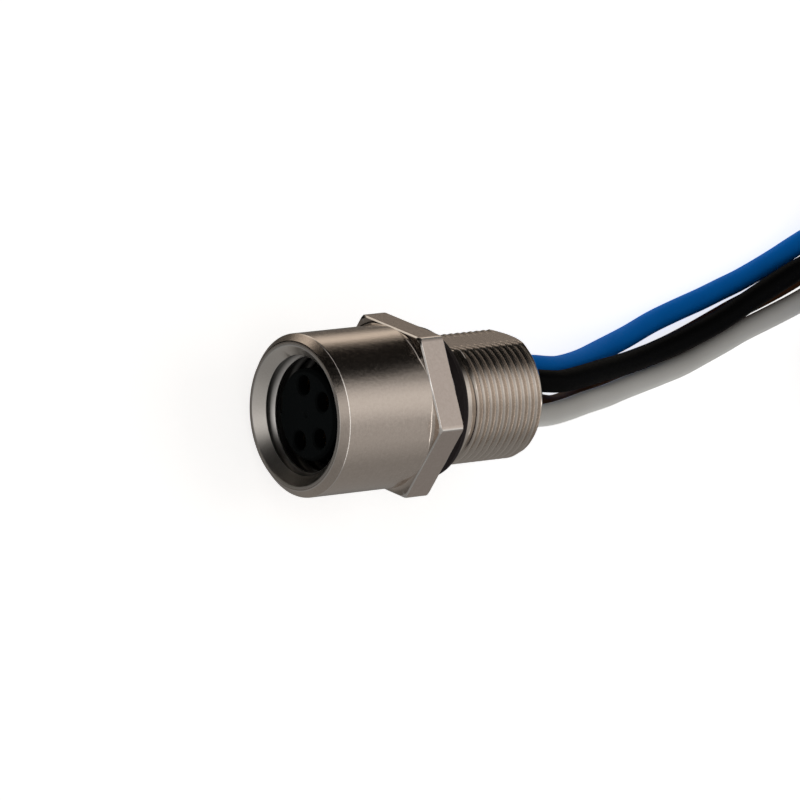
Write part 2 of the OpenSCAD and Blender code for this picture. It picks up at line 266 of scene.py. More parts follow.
# satin nickel: fine rings and grain on the turned nose, hardly any on the drawn bar, a duller plate in the
# mouth; rings and grain are drawn coarser than the real ones, so that they show
turnedNickel = platedMetal("turnedNickelPlate", ("#d6c9be", "#dfd2c7"), (0.17, 0.25),
                           marks=0.1, grain=0.2, share=0.75, depth=0.006)
barNickel = platedMetal("drawnBarNickelPlate", ("#d5c7bd", "#dccec5"), (0.23, 0.25),
                        marks=0.35, grain=0.16, share=0.85, depth=0.0004)
# painted shade: the panel thread darkens towards its roots, the plug thread towards its roots and deeper in
# the bore
threadNickel = platedMetal("cutThreadNickelPlate", ("#dcd1c6", "#e6dbd1"), (0.17, 0.2),
                           marks=0.1, grain=0.12, share=0.6, depth=0.0003,
                           paintedShade={"radius": (3.9, 3.72), "left": 0.85})
mouthNickel = platedMetal("mouthNickelPlate", ("#efe9e2", "#f8f3ed"), (0.29, 0.31),
                          marks=0.08, grain=0.1, share=0.5, depth=0.0006)
plugNickel = platedMetal("plugThreadNickelPlate", ("#efece8", "#f6f3f0"), (0.28, 0.3),
                         marks=0.1, grain=0.12, share=0.6, depth=0.0004,
                         paintedShade={"radius": (3.5, 3.75), "x": (-6.6, -6.0), "left": 0.2})
# gold on the contacts: a warm glint deep in the holes; tin on copper: bright grey strands
goldPlate = platedMetal("goldPlate", ("#a5823a", "#bd9848"), (0.26, 0.38),
                        marks=0.08, grain=0.3, share=0.4, depth=0.001)
tinnedCopper = platedMetal("tinnedCopper", ("#b9b8b4", "#d0cfcb"), (0.22, 0.36),
                           marks=0.2, grain=0.15, share=0.7, depth=0.002)
# extruded insulation: flat strong colours with hardly any gloss
pvc = {
    "Brown": plastic("brownPvc", ("#38200f", "#412714"), (0.45, 0.6), specular=0.08, skin=0.12, depth=0.002),
    "White": plastic("whitePvc", ("#dadbd9", "#e2e3e1"), (0.45, 0.6), specular=0.2, skin=0.12, depth=0.002),
    "Blue": plastic("bluePvc", ("#0071d4", "#007ade"), (0.5, 0.65), specular=0.05, skin=0.12, depth=0.002),
    "Black": plastic("blackPvc", ("#040404", "#070708"), (0.5, 0.65), specular=0.04, skin=0.12, depth=0.002)}
# moulded carrier: dead black and dull
mouldedPolyamide = plastic("mouldedPolyamide", ("#050809", "#080b0c"), (0.55, 0.7),
                           specular=0.06, skin=0.1, depth=0.003)
# ring: soft dark rubber with a grey bloom
sealRubber = plastic("nitrileRubber", ("#160f10", "#1d1516"), (0.55, 0.7),
                     specular=0.22, skin=0.14, depth=0.003)
# resin: smooth, as if wet
castEpoxy = plastic("castEpoxy", ("#0d0d0e", "#131314"), (0.1, 0.18), specular=0.5, skin=0.4, depth=0.001)
# ties: black moulding with a soft sheen
tieNylon = plastic("mouldedNylon", ("#121213", "#19191a"), (0.36, 0.48), specular=0.4, skin=0.2, depth=0.002)
for colour, piece in leadPieces.items():
    piece.data.materials.append(pvc[colour])
print("finishes mixed")


# Shapes
def softened(corners, size, steps=3, margin=0.04):
    # a profile with small arcs for corners and a row beside each arc
    line = [corners[0]]
    for a, b, c in zip(corners, corners[1:], corners[2:]):
        a, b, c = (np.array(p, float) for p in (a, b, c))
        into = (b - a) / np.linalg.norm(b - a)
        out = (c - b) / np.linalg.norm(c - b)
        cut = min(size, np.linalg.norm(b - a) / 3, np.linalg.norm(c - b) / 3)
        side = min(margin, cut / 2)
        line.append(tuple(b - into * (cut + side)))
        for t in np.linspace(0, 1, steps + 1):
            line.append(tuple(b - into * cut * (1 - t) ** 2 + out * cut * t ** 2))
        line.append(tuple(b + out * (cut + side)))
    return line + [corners[-1]]


def ringMesh(name, chains, columns, middle=(0, 0)):
    # turned shapes: each chain is rows of station and radius in mm, as one number or one per column
    vertices, faces = [], []
    turn = np.arange(columns) * 2 * math.pi / columns
    for chain in chains:
        base = len(vertices)
        for station, radius in chain:
            x = np.broadcast_to(np.asarray(station, float), turn.shape) + axis["rim"]
            r = np.broadcast_to(np.asarray(radius, float), turn.shape)
            y = middle[0] + r * np.sin(turn)
            z = axis["height"] + middle[1] + r * np.cos(turn)
            vertices += list(zip(x * mm, y * mm, z * mm))
        for row in range(len(chain) - 1):
            for k in range(columns):
                a, b = base + row * columns + k, base + row * columns + (k + 1) % columns
                faces.append((a, b, b + columns, a + columns))
    mesh = bpy.data.meshes.new(name)
    mesh.from_pydata(vertices, [], faces)
    return mesh


def outwards(mesh, sharp):    # a closed mesh with its faces out, smooth but for edges over the angle
    work = bmesh.new()
    work.from_mesh(mesh)
    bmesh.ops.remove_doubles(work, verts=work.verts, dist=weldGap)
    bmesh.ops.dissolve_degenerate(work, edges=work.edges, dist=weldGap)
    bmesh.ops.recalc_face_normals(work, faces=work.faces)
    if work.calc_volume(signed=True) < 0:
        bmesh.ops.reverse_faces(work, faces=work.faces)
    loose = sum(1 for edge in work.edges if len(edge.link_faces) != 2)
    work.to_mesh(mesh)
    work.free()
    mesh.shade_smooth()
    mesh.set_sharp_from_angle(angle=math.radians(sharp))
    print(mesh.name, len(mesh.polygons), "faces,", loose, "open edges")


def joined(name, meshes):
    work = bmesh.new()
    for mesh in meshes:
        work.from_mesh(mesh)
    whole = bpy.data.meshes.new(name)
    work.to_mesh(whole)
    work.free()
    return whole


def plainMesh(name, data, modifier):    # the mesh that a live modifier makes of an object
    bpy.context.view_layer.update()
    mesh = bpy.data.meshes.new_from_object(data.evaluated_get(bpy.context.evaluated_depsgraph_get()))
    data.modifiers.remove(modifier)
    bpy.data.objects.remove(data)
    mesh.name = name
    return mesh


def startTree(name, sizes):    # a node tree with the named inputs
    tree = bpy.data.node_groups.new(name, "GeometryNodeTree")
    tree.interface.new_socket("Geometry", in_out="INPUT", socket_type="NodeSocketGeometry")
    tree.interface.new_socket("Geometry", in_out="OUTPUT", socket_type="NodeSocketGeometry")
    for key, value in sizes.items():
        kind = "NodeSocketInt" if isinstance(value, int) else "NodeSocketFloat"
        tree.interface.new_socket(key, in_out="INPUT", socket_type=kind)
    return tree, addNode(tree, "NodeGroupInput")


def endTree(tree, geometry, material, others=()):    # others: pairs of finish number and material
    whole = addNode(tree, "GeometryNodeRealizeInstances", {"Geometry": geometry})
    painted = addNode(tree, "GeometryNodeSetMaterial", {"Geometry": whole, "Material": material})
    for number, other in others:
        kind = addNode(tree, "GeometryNodeInputNamedAttribute", {"Name": "finish"}, data_type="INT")
        same = addNode(tree, "FunctionNodeCompare", {2: kind, 3: number}, data_type="INT", operation="EQUAL")
        painted = addNode(tree, "GeometryNodeSetMaterial",
                          {"Geometry": painted, "Selection": same, "Material": other})
    addNode(tree, "NodeGroupOutput", {"Geometry": painted})


def grow(name, data, tree, sizes):    # runs the tree on the data and keeps the plain mesh
    base = bpy.data.objects.new(name + "Base", data)
    scene.collection.objects.link(base)
    modifier = base.modifiers.new("shape", "NODES")
    modifier.node_group = tree
    named = {item.name: item.identifier for item in tree.interface.items_tree if item.in_out == "INPUT"}
    for key, value in sizes.items():
        modifier[named[key]] = value
    return plainMesh(name, base, modifier)


# Housing: stations in mm from the rim, radii from the axis, angles in degrees
shell = {
    "columns": 300, "sharp": 23,
    "sink": 4.25, "sinkDepth": 0.6, "mouthFloor": 5.6, "edgeRound": 0.06,
    "nose": 4.95, "rimBevel": 0.45, "neckFillet": 0.3, "neckRows": 6,
    "hexFront": 6.7, "hexRear": 8.5, "acrossFlats": 10, "edgeBreak": 0.09,
    "cornerCut": 0.25, "cornerSlope": 30, "cornerRound": 0.03, "leastRise": 0.03,
    "groove": 3.2, "groovedFace": 4.6, "grooveRound": 0.08,
    "threadFront": 10.0, "threadRear": 16.1, "crest": 3.975, "root": 3.695, "threadBevel": 0.35,
    "collar": 3.95, "collarBevel": 0.1, "collarRear": 10.42, "reliefAt": 10.5417, "relief": 3.66,
    "panelPitch": 0.5, "panelPhase": 1 / 3, "panelRows": 12, "flat": 3.6, "flatTurn": 60, "leastLean": 0.01,
    "plugRoot": 4.0, "plugCrest": 3.46, "plugPitch": 1.0, "plugPhase": 0.92, "plugRows": 10,
    "bore": 2.65, "boreBevel": 0.3, "boreRound": 0.05, "endWall": 0.2}
coat = {"turned": 0, "bar": 1, "mouth": 2, "panelThread": 3, "plugThread": 4}
turn = np.arange(shell["columns"]) * 2 * math.pi / shell["columns"]
sector = (np.degrees(turn) + 30) % 60 - 30    # from the middle of the nearest flat
corner = shell["acrossFlats"] / math.sqrt(3)
hexRadius = np.minimum(shell["acrossFlats"] / 2 / np.cos(np.radians(sector)), corner - shell["cornerRound"])
cornerStart = corner - shell["cornerCut"]
cornerSlope = math.tan(math.radians(shell["cornerSlope"]))
hexFace = np.maximum(np.minimum(hexRadius - shell["edgeBreak"], cornerStart), shell["nose"])
hexEdge = np.maximum(shell["edgeBreak"], (hexRadius - cornerStart) * cornerSlope)
flatLimit = shell["flat"] / np.maximum(np.cos(turn - math.radians(shell["flatTurn"])), shell["leastLean"])
endRing = np.minimum(shell["crest"] - shell["threadBevel"], flatLimit)
collar = [(s, np.minimum(r, flatLimit)) for s, r in (
    (shell["threadFront"], shell["collar"] - shell["collarBevel"]),
    (shell["threadFront"] + shell["collarBevel"], shell["collar"]),
    (shell["collarRear"], shell["collar"]), (shell["reliefAt"], shell["relief"]))]
boreEnd = shell["bore"] + shell["boreBevel"]
lip = softened([(shell["sinkDepth"], shell["sink"] - shell["sinkDepth"]), (0, shell["sink"]),
                (0, shell["nose"] - shell["rimBevel"]), (shell["rimBevel"], shell["nose"]),
                (shell["hexFront"] / 2, shell["nose"])], shell["edgeRound"])
neckSize = np.clip(hexFace - shell["nose"], 0, shell["neckFillet"])
neck = [(shell["hexFront"] - neckSize * (1 - math.sin(a)), shell["nose"] + neckSize * (1 - math.cos(a)))
        for a in np.linspace(0, math.pi / 2, shell["neckRows"])]
# the hexagon's edge is cut and rounded: shares of the cut's depth and height, with rows beside it
edgeShares = [(0, -0.35), (0, -0.15), (0.2, 0.15), (0.8, 0.85), (1.1, 1), (1.4, 1)]
hexRise = np.maximum(hexRadius - hexFace, shell["leastRise"])
hexagonFront = [(shell["hexFront"] + hexEdge * max(s, 0), hexFace + hexRise * r) for s, r in edgeShares]
hexagonRear = [(shell["hexRear"] - hexEdge * max(s, 0), hexFace + hexRise * r) for s, r in edgeShares[::-1]]
sealGroove = softened([(shell["hexRear"], shell["groovedFace"]), (shell["hexRear"], shell["groove"]),
                       (shell["threadFront"], shell["groove"]),
                       (shell["threadFront"], shell["groove"] + shell["endWall"])], shell["grooveRound"])
rearBore = softened([(shell["threadRear"], boreEnd + shell["endWall"]), (shell["threadRear"], boreEnd),
                     (shell["threadRear"] - shell["boreBevel"], shell["bore"]),
                     (shell["mouthFloor"], shell["bore"]),
                     (shell["mouthFloor"], shell["plugRoot"])], shell["boreRound"])
# the finish of the faces after each row; the lip's first rows are the countersink and the front face
mouthRows = 7
frontParts = [(lip[:mouthRows], "mouth"), (lip[mouthRows:], "turned"), (neck, "turned"),
              (hexagonFront, "bar"), (hexagonRear, "bar"), (sealGroove, "turned"), (collar, "panelThread")]
frontChain = [row for rows, name in frontParts for row in rows]
rearChain = [(shell["threadRear"], endRing)] + rearBore
rowFinish = [coat[name] for rows, name in frontParts for row in rows][:-1]
rowFinish += [coat["turned"]] * (len(rearChain) - 1)
turnedBody = ringMesh("turnedBody", [frontChain, rearChain], shell["columns"])
# edges polished by handling, lightened partly as a painted highlight, from 0 to 1: rim rows, hexagon rows
# and the hexagon's corners
polishAndHighlight = {"rimRows": {3: 0.8, 4: 0.8, 9: 0.6, 10: 0.6, 15: 0.4, 16: 0.4}, "hexagonRows": (2, 3, 8, 9),
          "hexagon": 0.8, "cornerFrom": 29.5}
hexStart = len(lip) + len(neck)
hexEnd = hexStart + len(hexagonFront) + len(hexagonRear)
worn = np.zeros((len(frontChain) + len(rearChain), shell["columns"]), np.float32)
for row, amount in polishAndHighlight["rimRows"].items():
    worn[row] = amount
for row in polishAndHighlight["hexagonRows"]:
    worn[hexStart + row] = polishAndHighlight["hexagon"]
worn[hexStart:hexEnd, np.abs(sector) > polishAndHighlight["cornerFrom"]] = polishAndHighlight["hexagon"]
wearAndHighlight = turnedBody.attributes.new("worn", "FLOAT", "POINT")
wearAndHighlight.data.foreach_set("value", worn.ravel())
mark = turnedBody.attributes.new("finish", "INT", "FACE")
coats = np.repeat(rowFinish, shell["columns"]).reshape(-1, shell["columns"]).astype(np.int32)
collarStart = len(frontChain) - len(collar)
coats[collarStart:len(frontChain) - 1, flatLimit < shell["collar"]] = coat["bar"]
mark.data.foreach_set("value", coats.ravel())

# A thread is one grid bent to a helical strip; each step: name, operation, operands
rowSlack = 1e-6
toBar = coat["bar"] - coat["panelThread"]    # the milled flat has the bar's finish
threadSteps = (
    ("u", "ADD", "across", 0.5),
    ("v", "ADD", "down", 0.5),
    ("angle", "MULTIPLY", "u", 2 * math.pi),
    ("travel", "MULTIPLY", "v", "run"),
    ("lag", "MULTIPLY", "u", "pitch"),
    ("advance", "SUBTRACT", "travel", "lag"),
    ("raw", "ADD", "start", "advance"),
    ("late", "MAXIMUM", "raw", "start"),
    ("station", "MINIMUM", "late", "end"),
    ("fromStart", "SUBTRACT", "station", "start"),
    ("wound", "ADD", "fromStart", "lag"),
    ("turns", "DIVIDE", "wound", "pitch"),
    ("shifted", "ADD", "turns", "phase"),
    ("part", "FRACT", "shifted"),
    ("offset", "SUBTRACT", "part", 0.5),
    ("apart", "ABSOLUTE", "offset"),
    ("swing", "MULTIPLY", "apart", 2.0),
    ("above", "SUBTRACT", "swing", "root share"),
    ("slope", "DIVIDE", "above", "flank share"),
    ("floored", "MAXIMUM", "slope", 0.0),
    ("rise", "SMOOTH_MIN", "floored", 1.0, "crest round"),
    ("height", "SUBTRACT", "crest", "root"),
    ("radius", "MULTIPLY_ADD", "rise", "height", "root"),
    ("signed", "MULTIPLY", "radius", "side"),
    ("frontLimit", "MULTIPLY_ADD", "front ring", "side", "fromStart"),
    ("toEnd", "SUBTRACT", "end", "station"),
    ("rearLimit", "MULTIPLY_ADD", "rear ring", "side", "toEnd"),
    ("bevelled", "MINIMUM", "signed", "frontLimit"),
    ("ended", "MINIMUM", "bevelled", "rearLimit"),
    ("trimmed", "MULTIPLY", "ended", "side"),
    ("first", "LESS_THAN", "travel", rowSlack),
    ("toRing", "SUBTRACT", "front ring", "trimmed"),
    ("closed", "MULTIPLY_ADD", "first", "toRing", "trimmed"),    # the first row is the ring it is welded to
    ("away", "SUBTRACT", "angle", "flat turn"),
    ("lean", "COSINE", "away"),
    ("facing", "MAXIMUM", "lean", shell["leastLean"]),
    ("limit", "DIVIDE", "flat", "facing"),
    ("milled", "MINIMUM", "closed", "limit"),
    ("spare", "SUBTRACT", "closed", "limit"),
    ("onFlat", "GREATER_THAN", "spare", 0.0),
    ("coat", "MULTIPLY_ADD", "onFlat", toBar, "finish"),
    ("sine", "SINE", "angle"),
    ("cosine", "COSINE", "angle"),
    ("x", "ADD", "station", "rim"),
    ("y", "MULTIPLY", "milled", "sine"),
    ("z", "MULTIPLY_ADD", "milled", "cosine", "axis height"),
)


def threadStrip(tree, give, name):    # one strip from the tree's inputs for that thread
    known = {socket.name.removeprefix(name + " "): socket for socket in give}
    grid = addNode(tree, "GeometryNodeMeshGrid", {"Size X": 1.0, "Size Y": 1.0,
                                                  "Vertices X": known["columns"],
                                                  "Vertices Y": known["rows"]})
    spot = addNode(tree, "ShaderNodeSeparateXYZ", {0: addNode(tree, "GeometryNodeInputPosition")})
    known["across"], known["down"] = spot.outputs["X"], spot.outputs["Y"]
    for step, operation, *operands in threadSteps:
        inputs = {i: known[o] if isinstance(o, str) else o for i, o in enumerate(operands)}
        known[step] = addNode(tree, "ShaderNodeMath", inputs, operation=operation)
    place = addNode(tree, "ShaderNodeCombineXYZ", {"X": known["x"], "Y": known["y"], "Z": known["z"]})
    coated = addNode(tree, "GeometryNodeStoreNamedAttribute",
                     {"Geometry": grid, "Name": "finish", "Value": known["coat"]},
                     data_type="INT", domain="FACE")
    return addNode(tree, "GeometryNodeSetPosition", {"Geometry": coated, "Position": place})


def stripRows(start, end, pitch, perTurn):
    # whole rows from one turn before the start to the end, and the distance that they run
    steps = math.ceil((end - start + pitch) / pitch * perTurn - rowSlack)
    return steps + 1, steps * pitch / perTurn * mm


panelRows, panelRun = stripRows(shell["reliefAt"], shell["threadRear"], shell["panelPitch"],
                                shell["panelRows"])
plugRows, plugRun = stripRows(shell["sinkDepth"], shell["mouthFloor"], shell["plugPitch"], shell["plugRows"])
# shares of half a pitch: the flat of the root and the rise of a flank; the strip's side is -1 for a bore
threadSizes = {
    "columns": shell["columns"] + 1, "flat turn": math.radians(shell["flatTurn"]),
    "rim": axis["rim"] * mm, "axis height": axis["height"] * mm,
    "panel pitch": shell["panelPitch"] * mm, "panel crest": shell["crest"] * mm,
    "panel root": shell["root"] * mm, "panel start": shell["reliefAt"] * mm,
    "panel end": shell["threadRear"] * mm, "panel front ring": shell["relief"] * mm,
    "panel rear ring": (shell["crest"] - shell["threadBevel"]) * mm, "panel side": 1.0,
    "panel flat": shell["flat"] * mm, "panel phase": shell["panelPhase"],
    "panel finish": coat["panelThread"], "panel rows": panelRows, "panel run": panelRun,
    "panel root share": 0.04, "panel flank share": 0.7, "panel crest round": 0.2,
    "plug pitch": shell["plugPitch"] * mm, "plug crest": shell["plugCrest"] * mm,
    "plug root": shell["plugRoot"] * mm, "plug start": shell["sinkDepth"] * mm,
    "plug end": shell["mouthFloor"] * mm, "plug front ring": (shell["sink"] - shell["sinkDepth"]) * mm,
    "plug rear ring": shell["plugRoot"] * mm, "plug side": -1.0,
    "plug flat": 1.0,    # a metre away, so none is cut
    "plug phase": shell["plugPhase"],
    "plug finish": coat["plugThread"], "plug rows": plugRows, "plug run": plugRun,
    "plug root share": 0.125, "plug flank share": 0.625, "plug crest round": 0.5}
threadTree, given = startTree("cutThreads", threadSizes)
strips = [threadStrip(threadTree, given.outputs, name) for name in ("panel", "plug")]
together = addNode(threadTree, "GeometryNodeJoinGeometry")
for part in (given, *strips):
    threadTree.links.new(part.outputs[0], together.inputs[0])
welded = addNode(threadTree, "GeometryNodeMergeByDistance", {"Geometry": together, "Distance": weldGap})
plates = {"bar": barNickel, "mouth": mouthNickel, "panelThread": threadNickel, "plugThread": plugNickel}
endTree(threadTree, welded, turnedNickel, [(coat[name], plate) for name, plate in plates.items()])
housingMesh = grow("housingShell", turnedBody, threadTree, threadSizes)
outwards(housingMesh, shell["sharp"])
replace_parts(addPiece("housingShell", housingMesh), "housing")
print("housing turned")

# Contact carrier: one moulding, with bevelled holes, a keyway and the gate's mark in the middle of its face
carrier = {
    "face": 0.9, "post": 2.8, "faceBevel": 0.2, "flangeFront": 4.58, "flange": 3.44, "floor": 5.58,
    "stem": 2.63, "stemRear": 7.6, "hole": 0.6, "holeBevel": 0.1, "seat": 0.72, "seatFront": 1.68,
    "circle": 1.8, "poles": (-136, -67.5, 79, 10.5), "keyTurn": 151.5, "keyWidth": 1.0, "keyFloor": 2.4,
    "gate": [(0.8, 0), (0.8, 0.26), (0.9, 0.22), (0.95, 0.14), (0.96, 0)], "clear": 0.3,
    "edgeRound": 0.05, "columns": 120, "holeColumns": 40, "sharp": 30}
c = carrier
outline = softened([(c["face"], 0), (c["face"], c["post"] - c["faceBevel"]),
                    (c["face"] + c["faceBevel"], c["post"]), (c["flangeFront"], c["post"]),
                    (c["flangeFront"], c["flange"]), (c["floor"], c["flange"]), (c["floor"], c["stem"]),
                    (c["stemRear"], c["stem"]), (c["stemRear"], 0)], c["edgeRound"])
hole = [(c["face"] - c["clear"], 0), (c["face"] - c["clear"], c["hole"] + c["holeBevel"] + c["clear"]),
        (c["face"] + c["holeBevel"], c["hole"]), (c["seatFront"], c["hole"]), (c["seatFront"], c["seat"]),
        (c["stemRear"] + c["clear"], c["seat"]), (c["stemRear"] + c["clear"], 0)]
cutters = [ringMesh("gate", [c["gate"]], c["holeColumns"])]
for angle in c["poles"]:
    middle = (c["circle"] * math.sin(math.radians(angle)), c["circle"] * math.cos(math.radians(angle)))
    cutters.append(ringMesh("hole", [hole], c["holeColumns"], middle))


def boxMesh(name, low, high, place, bevel=0.0):    # a block between two corners in mm, then put in place
    work = bmesh.new()
    bmesh.ops.create_cube(work, size=1.0)
    size = [(b - a) * mm for a, b in zip(low, high)]
    middle = [(a + b) / 2 * mm for a, b in zip(low, high)]
    sized = Matrix.Translation(middle) @ Matrix.Diagonal((*size, 1))
    bmesh.ops.transform(work, matrix=sized, verts=work.verts)
    if bevel:
        bmesh.ops.bevel(work, geom=work.edges, offset=bevel * mm, segments=3, profile=0.5, affect="EDGES")
    bmesh.ops.transform(work, matrix=place, verts=work.verts)
    mesh = bpy.data.meshes.new(name)
    work.to_mesh(mesh)
    work.free()
    return mesh


onAxis = Matrix.Translation((axis["rim"] * mm, 0, axis["height"] * mm))
keyPlace = onAxis @ Matrix.Rotation(math.radians(-c["keyTurn"]), 4, "X")
keyLow = (c["face"] - c["clear"], -c["keyWidth"] / 2, c["keyFloor"])
keyHigh = (c["flangeFront"] - c["edgeRound"], c["keyWidth"] / 2, c["post"] + c["clear"])
cutters.append(boxMesh("keyway", keyLow, keyHigh, keyPlace))
solids = []
for mesh in (ringMesh("moulding", [outline], c["columns"]), joined("holes", cutters)):
    outwards(mesh, c["sharp"])
    solids.append(bpy.data.objects.new(mesh.name, mesh))
    scene.collection.objects.link(solids[-1])
carve = solids[0].modifiers.new("carve", "BOOLEAN")
carve.solver = "EXACT"
carve.object = solids[1]
carrierMesh = plainMesh("carrierMoulding", solids[0], carve)
bpy.data.objects.remove(solids[1])
outwards(carrierMesh, c["sharp"])
carrierMesh.materials.clear()
carrierMesh.materials.append(mouldedPolyamide)
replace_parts(addPiece("carrierMoulding", carrierMesh), "contact_carrier")
print("carrier moulded")

# Sealing ring, with the fine parting line of its mould round the outside
seal = {"station": 9.25, "ring": 3.95, "section": 0.7, "flash": 0.03, "flashWidth": 0.07, "points": 72,
        "columns": 240, "sharp": 40}
sealLine = []
for a in np.linspace(-math.pi, math.pi, seal["points"] + 1):
    out = seal["section"] + seal["flash"] * math.exp(-(a / seal["flashWidth"]) ** 2)
    sealLine.append((seal["station"] + out * math.sin(a), seal["ring"] + out * math.cos(a)))
sealMesh = ringMesh("sealRing", [sealLine], seal["columns"])
outwards(sealMesh, seal["sharp"])
sealMesh.materials.append(sealRubber)
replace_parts(addPiece("sealRing", sealMesh), "panel_seal")

# Resin: it creeps up a little on the bore's wall and on each lead
fill = {"level": 15.5, "floor": 7.62, "wall": 2.63, "creep": 0.16, "reach": 0.14, "rings": 44,
        "columns": 180, "sharp": 50}
fillTurn = np.arange(fill["columns"]) * 2 * math.pi / fill["columns"]
exits = [(route[0][1], route[0][2] - axis["height"]) for route in leads["routes"].values()]
fillRows = []
for r in np.linspace(0, fill["wall"], fill["rings"]):
    y, z = r * np.sin(fillTurn), r * np.cos(fillTurn)
    gap = np.full(fillTurn.shape, fill["wall"] - r)
    for exitY, exitZ in exits:
        gap = np.minimum(gap, np.abs(np.hypot(y - exitY, z - exitZ) - leads["diameter"] / 2))
    fillRows.append((fill["level"] + fill["creep"] * np.exp(-gap / fill["reach"]), r))
fillRows += [(fill["floor"], fill["wall"]), (fill["floor"], 0)]
fillMesh = ringMesh("resinFill", [fillRows], fill["columns"])
outwards(fillMesh, fill["sharp"])
fillMesh.materials.append(castEpoxy)
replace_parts(addPiece("resinFill", fillMesh), "potting")
print("seal and resin in place")

# Ties: a strap round the coil's section, and on top a locking head with a ridge and the strap's cut end
tie = {"angles": (30, 210), "inner": 3.7987, "outer": 11.02, "height": 6.44, "width": 2.5, "thick": 0.4,
       "bend": 0.9, "bendRows": 8, "break": 0.08, "head": (2.8, 2.8, 1.4), "headBevel": 0.25, "sink": 0.05,
       "ridge": (1.5, 1.9, 0.3), "ridgeRise": 0.12, "ridgeBevel": 0.1,
       "stub": (0.35, 1.7, 0.7), "stubRoot": 0.1, "stubUp": 0.3, "stubBevel": 0.06, "sharp": 32}


def strapMesh(place):    # the strap's section carried round a rectangle with round corners
    low, high, top, bend = tie["inner"], tie["outer"], tie["height"], tie["bend"]
    path = []
    for middle, start in (((high - bend, top - bend), 0), ((low + bend, top - bend), 90),
                          ((low + bend, bend), 180), ((high - bend, bend), 270)):
        for a in np.radians(np.linspace(start, start + 90, tie["bendRows"])):
            u, z = middle[0] + bend * math.cos(a), middle[1] + bend * math.sin(a)
            path.append((u, z, math.cos(a), math.sin(a)))
    half, thick, cut = tie["width"] / 2, tie["thick"], tie["break"]
    section = [(0, half - cut), (-cut, half), (cut - thick, half), (-thick, half - cut),
               (-thick, cut - half), (cut - thick, -half), (-cut, -half), (0, cut - half)]
    vertices = [place @ (Vector((u + du * t, w, z + dz * t)) * mm)
                for u, z, du, dz in path for t, w in section]
    count, size = len(path), len(section)
    faces = [(i * size + k, i * size + (k + 1) % size, (i + 1) % count * size + (k + 1) % size,
              (i + 1) % count * size + k) for i in range(count) for k in range(size)]
    mesh = bpy.data.meshes.new("strap")
    mesh.from_pydata(vertices, [], faces)
    return mesh


tiePieces = []
for number, angle in enumerate(tie["angles"], 1):
    place = Matrix.Translation(Vector((*leads["coil"]["middle"], 0)) * mm)
    place = place @ Matrix.Rotation(math.radians(angle), 4, "Z")
    middle = (tie["inner"] + tie["outer"]) / 2
    wide, deep, tall = tie["head"]
    top = tie["height"] + tall
    head = boxMesh("head", (middle - wide / 2, -deep / 2, tie["height"] - tie["sink"]),
                   (middle + wide / 2, deep / 2, top), place, tie["headBevel"])
    long, broad, depth = tie["ridge"]
    ridge = boxMesh("ridge", (middle - long / 2, -broad / 2, top - depth),
                    (middle + long / 2, broad / 2, top + tie["ridgeRise"]), place, tie["ridgeBevel"])
    thin, stubWide, stubTall = tie["stub"]
    stubFoot = tie["height"] + tie["stubUp"]
    stub = boxMesh("stub", (middle + wide / 2 - tie["stubRoot"], -stubWide / 2, stubFoot),
                   (middle + wide / 2 + thin, stubWide / 2, stubFoot + stubTall), place, tie["stubBevel"])
    tieMesh = joined("tieStrap%d" % number, [strapMesh(place), head, ridge, stub])
    outwards(tieMesh, tie["sharp"])
    tieMesh.materials.append(tieNylon)
    tiePieces.append(addPiece("tieStrap%d" % number, tieMesh))
    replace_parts(tiePieces[-1], "coil_tie_%d" % number)
print("ties closed")

# Bare ends: seven tinned strands laid in a twist, where each lead was stripped
strandLay = 6    # mm along the lead for one full twist
strandSharp = 40
strands = {"strand radius": 0.115 * mm, "lay radius": 0.232 * mm, "twist": 2 * math.pi / (strandLay * mm),
           "sides": 10, "outer strands": 6, "steps": 40}
strandTree, given = startTree("laidStrands", strands)
give = given.outputs
wire = addNode(strandTree, "GeometryNodeCurvePrimitiveCircle",
               {"Resolution": give["sides"], "Radius": give["strand radius"]})
layRing = addNode(strandTree, "GeometryNodeMeshCircle",
                  {"Vertices": give["outer strands"], "Radius": give["lay radius"]})
spread = addNode(strandTree, "GeometryNodeInstanceOnPoints", {"Points": layRing, "Instance": wire})
outer = addNode(strandTree, "GeometryNodeRealizeInstances", {"Geometry": spread})
bundle = addNode(strandTree, "GeometryNodeJoinGeometry")
for part in (outer, wire):
    strandTree.links.new(part.outputs[0], bundle.inputs[0])
even = addNode(strandTree, "GeometryNodeResampleCurve", {"Curve": given, "Count": give["steps"]})
run = addNode(strandTree, "GeometryNodeSplineParameter").outputs["Length"]
tilt = addNode(strandTree, "ShaderNodeMath", {0: run, 1: give["twist"]}, operation="MULTIPLY")
laid = addNode(strandTree, "GeometryNodeSetCurveTilt", {"Curve": even, "Tilt": tilt})
swept = addNode(strandTree, "GeometryNodeCurveToMesh",
                {"Curve": laid, "Profile Curve": bundle, "Fill Caps": True})
endTree(strandTree, swept, tinnedCopper)
for colour, path in barePaths.items():
    line = bpy.data.curves.new("bare" + colour, "CURVE")
    line.dimensions = "3D"
    spline = line.splines.new("POLY")
    spline.points.add(len(path) - 1)
    for place, spot in zip(path, spline.points):
        spot.co = (*(place * mm), 1)
    tipMesh = grow("strands" + colour, line, strandTree, strands)
    outwards(tipMesh, strandSharp)
    addPiece("strands" + colour, tipMesh)
print("ends stripped")

# Contacts and the lead ends inside the resin keep their solids
for number, colour in enumerate(leads["routes"], 1):
    for name, material in (("contact_%d" % number, goldPlate), ("lead_end_%d" % number, pvc[colour])):
        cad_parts[name].data.materials.clear()
        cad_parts[name].data.materials.append(material)

